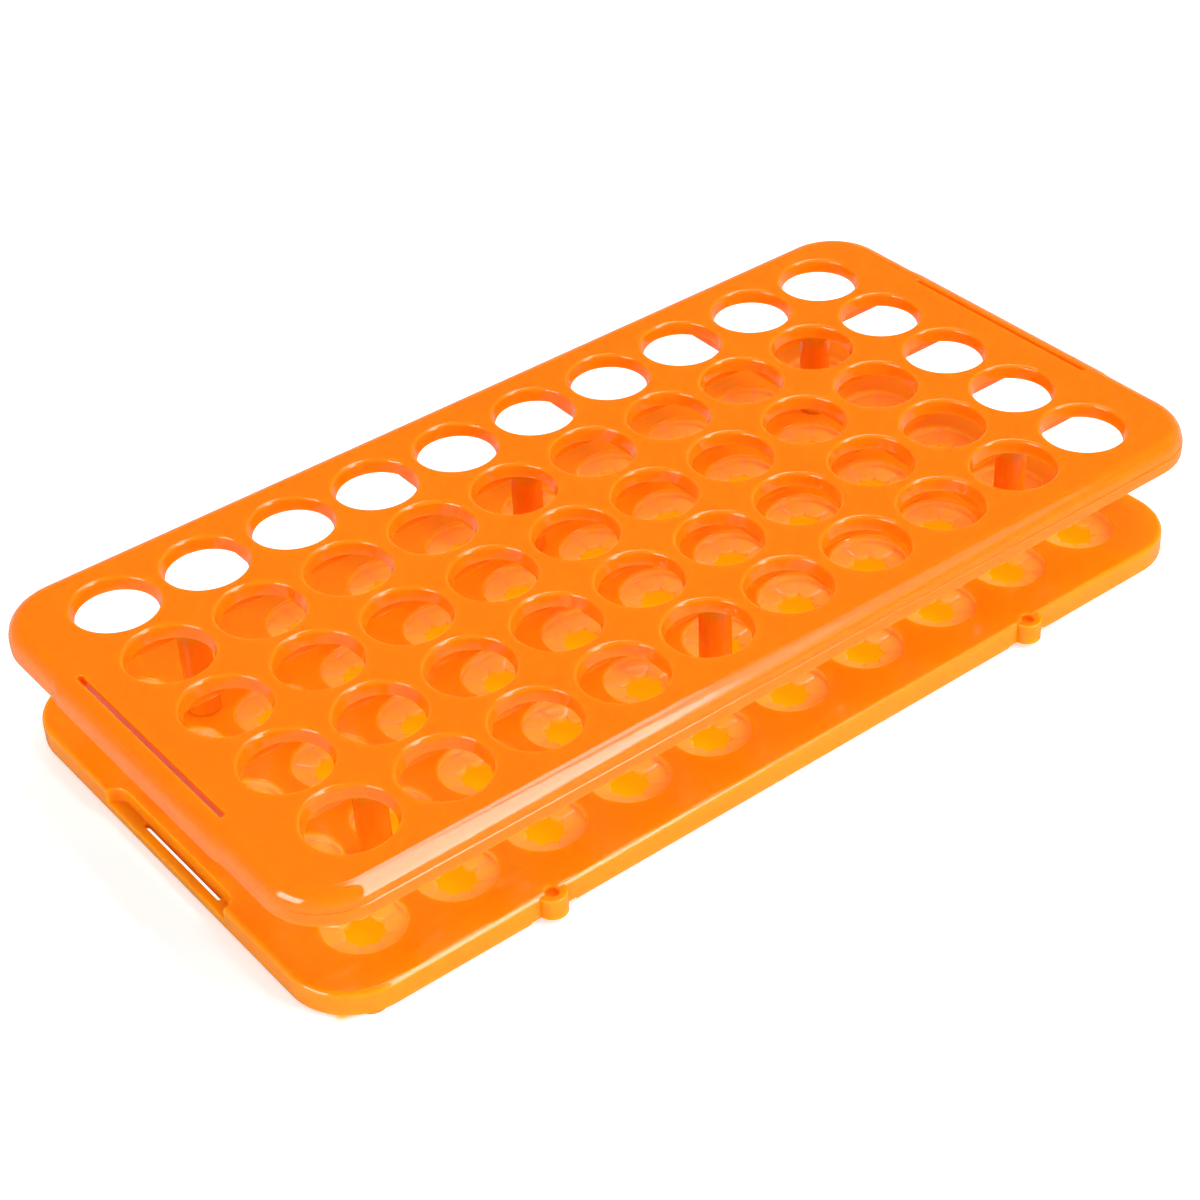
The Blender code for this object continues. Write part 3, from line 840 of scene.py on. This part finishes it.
def plastic(name, colour, deep, roughness, scatter):
    """Glossy translucent moulded plastic, returned with its nodes so that a plate can add to them."""
    material = bpy.data.materials.new(name)
    material.use_nodes = True
    nodes = Nodes(material.node_tree)
    shader = material.node_tree.nodes["Principled BSDF"]
    surface = nodes.add("ShaderNodeGroup", {"node_tree": SURFACE})
    nodes.set(surface, "Colour", (*colour, 1))
    nodes.set(surface, "Deep Colour", (*deep, 1))
    nodes.set(surface, "Gloss Roughness", roughness)
    bump = nodes.add("ShaderNodeBump", Strength=BUMP_STRENGTH, Distance=BUMP_DISTANCE,
                     Height=surface.outputs["Height"])
    nodes.set(shader, "Base Color", surface.outputs["Colour"])
    nodes.set(shader, "Roughness", surface.outputs["Roughness"])
    nodes.set(shader, "Normal", bump.outputs[0])
    shader.inputs["IOR"].default_value = PLASTIC_IOR
    shader.inputs["Specular IOR Level"].default_value = PLASTIC_SPECULAR
    shader.subsurface_method = "RANDOM_WALK"
    shader.inputs["Subsurface Weight"].default_value = 1.0
    shader.inputs["Subsurface Radius"].default_value = SCATTER_COLOUR
    shader.inputs["Subsurface Scale"].default_value = scatter
    return material, nodes, shader, surface


def lower_plastic():
    """The lower plate's plastic, with painted light inside the cups, paler where the thin fingers let
    light through, and a painted sheen along the grooves.
    """
    material, nodes, shader, surface = plastic("lower_plate_plastic", *LOWER_PLASTIC)
    place = nodes.add("ShaderNodeGroup", {"node_tree": TUBE_PLACE})
    inside = nodes.within(place.outputs["Distance"], CUP_RADIUS, CUP_RADIUS + CUP_LIP)
    sunk = nodes.ramp(place.outputs["Height"], *(BASE_FACE - depth for depth in FINGER_LIGHT_DEPTHS))
    # painted light: paler inside the cups, where the thin fingers let light through
    thin = nodes.math("MULTIPLY", inside, sunk)
    # painted sheen: a pinker line along each groove
    fingers = nodes.mix(place.outputs["Groove"], (*FINGER_LIGHT_COLOUR, 1), (*GROOVE_SHEEN_COLOUR, 1))
    nodes.set(shader, "Base Color", nodes.mix(thin, surface.outputs["Colour"], fingers))
    return material


SURFACE = moulded_surface_group()
TUBE_PLACE = tube_place_group()


def dress(piece, material, node):
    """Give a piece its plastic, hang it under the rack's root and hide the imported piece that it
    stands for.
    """
    piece.data.materials.clear()
    piece.data.materials.append(material)
    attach(piece, "root")
    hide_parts(node)


def make_rack():
    """All pieces of the rack, each in its plastic."""
    upper = make_upper_plate()
    dress(upper, plastic("upper_plate_plastic", *TOP_PLASTIC)[0], "top_plate")
    lower = make_lower_plate()
    dress(lower, lower_plastic(), "bottom_plate")
    post_material = plastic("post_plastic", *POST_PLASTIC)[0]
    for name in POST_NAMES:
        dress(make_post(name), post_material, name)


def white_floor():
    """White surface with painted orange light under the rack, standing for the light that the plastic
    lets through.

    Below the slots of the two pockets a pale strip of painted light is left, where the rack's shade
    falls.
    The lift keeps the floor white where the camera looks at it, and reflections see it darker.
    """
    material = bpy.data.materials.new("white_floor")
    material.use_nodes = True
    nodes = Nodes(material.node_tree)
    shader = material.node_tree.nodes["Principled BSDF"]
    shader.inputs["Roughness"].default_value = FLOOR_ROUGHNESS
    shader.inputs["Specular IOR Level"].default_value = 0.0
    place = nodes.add("ShaderNodeTexCoord").outputs["Object"]
    split = nodes.add("ShaderNodeSeparateXYZ", Vector=place)
    away_x, away_y = (nodes.math("ABSOLUTE", split.outputs[index]) for index in (0, 1))
    end, side = BASE_LENGTH / 2, BASE_WIDTH / 2
    # painted light: orange glow on the floor below the rack, which also lights the plates from beneath
    under = nodes.math("MULTIPLY", nodes.within(away_x, end - GLOW_FULL, end - GLOW_START),
                       nodes.within(away_y, side - GLOW_FULL, side - GLOW_START))
    # painted light: a pale strip on the floor below each pocket's slot
    strip = [end - inset for inset in SLOT_LIGHT_INSETS]
    across = nodes.math("MULTIPLY", nodes.ramp(away_x, *strip[:2]), nodes.within(away_x, *strip[2:]))
    slot_light = nodes.math("MULTIPLY", across, nodes.within(away_y, *SLOT_LIGHT_ENDS))
    under = nodes.math("MULTIPLY", under, nodes.math("SUBTRACT", 1.0, slot_light))
    path = nodes.add("ShaderNodeLightPath")
    white = nodes.mix(path.outputs["Is Glossy Ray"], (*FLOOR_COLOUR, 1), (*MIRRORED_FLOOR_COLOUR, 1))
    nodes.set(shader, "Base Color", nodes.mix(under, white, (*GLOW_COLOUR, 1)))
    seen = nodes.math("MAXIMUM", path.outputs["Is Camera Ray"], path.outputs["Is Transmission Ray"])
    lift = nodes.math("MULTIPLY", seen, nodes.math("MULTIPLY_ADD", slot_light, SLOT_LIFT, FLOOR_LIFT))
    nodes.set(shader, "Emission Color", nodes.mix(under, (1, 1, 1, 1), (*GLOW_COLOUR, 1)))
    nodes.set(shader, "Emission Strength", nodes.blend(under, lift, GLOW_LEVEL))
    return material


def make_floor():
    """Flat white floor, wide enough to pass into the white room without an edge."""
    mesh = bmesh.new()
    corners = ((-FLOOR_REACH, -FLOOR_REACH), (FLOOR_REACH, -FLOOR_REACH),
               (FLOOR_REACH, FLOOR_REACH), (-FLOOR_REACH, FLOOR_REACH))
    mesh.faces.new([mesh.verts.new((x, y, 0.0)) for x, y in corners])
    floor = make_object("floor", mesh)
    floor.data.materials.append(white_floor())


def add_lamp(name, direction, along, size, radiance, mirrored=True, lights=True):
    """Rectangular soft lamp that faces the rack, with its second side along a line.

    A lamp that isn't mirrored leaves no reflection, and one that doesn't light is seen only in them.
    """
    data = bpy.data.lights.new(name, "AREA")
    data.shape = "RECTANGLE"
    data.size, data.size_y = size
    data.energy = radiance * math.pi * size[0] * size[1]
    lamp = bpy.data.objects.new(name, data)
    bpy.context.scene.collection.objects.link(lamp)
    lamp.visible_glossy = mirrored
    lamp.visible_diffuse = lights
    out = Vector(direction).normalized()
    across = Vector(along).cross(out).normalized()
    turn = Matrix((across, out.cross(across), out)).transposed()
    lamp.matrix_world = Matrix.Translation(LAMP_AIM + out * LAMP_DISTANCE) @ turn.to_4x4()


def light_scene():
    """White room, pale along the horizon, with a long softbox at the right and panels all round.

    A few lamps show only in the plastic's gloss, for the glint at the left and the pale band in front.
    """
    world = bpy.data.worlds.new("white_room")
    bpy.context.scene.world = world
    world.use_nodes = True
    nodes = Nodes(world.node_tree)
    background = world.node_tree.nodes["Background"]
    direction = nodes.add("ShaderNodeTexCoord").outputs["Generated"]
    height = nodes.add("ShaderNodeSeparateXYZ", Vector=direction).outputs[2]
    overhead = nodes.ramp(height, *HORIZON_BAND)
    nodes.set(background, "Color", (1, 1, 1, 1))
    level = nodes.math("MULTIPLY_ADD", overhead, OVERHEAD_LEVEL - 1.0, 1.0)
    mirrored = nodes.add("ShaderNodeLightPath").outputs["Is Glossy Ray"]
    dimmed = nodes.math("MULTIPLY_ADD", mirrored, MIRRORED_LEVEL - 1.0, 1.0)
    nodes.set(background, "Strength", nodes.math("MULTIPLY", level, dimmed))
    add_lamp("right_softbox", *RIGHT_SOFTBOX)
    for name, lamp in REFLECTED_LAMPS.items():
        add_lamp(name, *lamp, lights=False)
    for name, lamp in PANELS.items():
        add_lamp(name, *lamp, mirrored=False)


def place_camera():
    """Camera at the photograph's viewpoint."""
    data = bpy.data.cameras.new("camera")
    data.lens = CAMERA_LENS
    data.sensor_width = 36.0
    data.clip_start = 0.01
    data.clip_end = 20.0
    camera = bpy.data.objects.new("camera", data)
    bpy.context.scene.collection.objects.link(camera)
    turn = Matrix.Rotation(math.radians(CAMERA_AZIMUTH), 4, "Z")
    tilt = Matrix.Rotation(math.radians(90 - CAMERA_ELEVATION), 4, "X")
    roll = Matrix.Rotation(math.radians(CAMERA_ROLL), 4, "Z")
    camera.matrix_world = Matrix.Translation(CAMERA_PLACE) @ turn @ tilt @ roll
    bpy.context.scene.camera = camera


place_camera()
make_rack()
make_floor()
light_scene()
bpy.context.scene.view_settings.view_transform = "Standard"
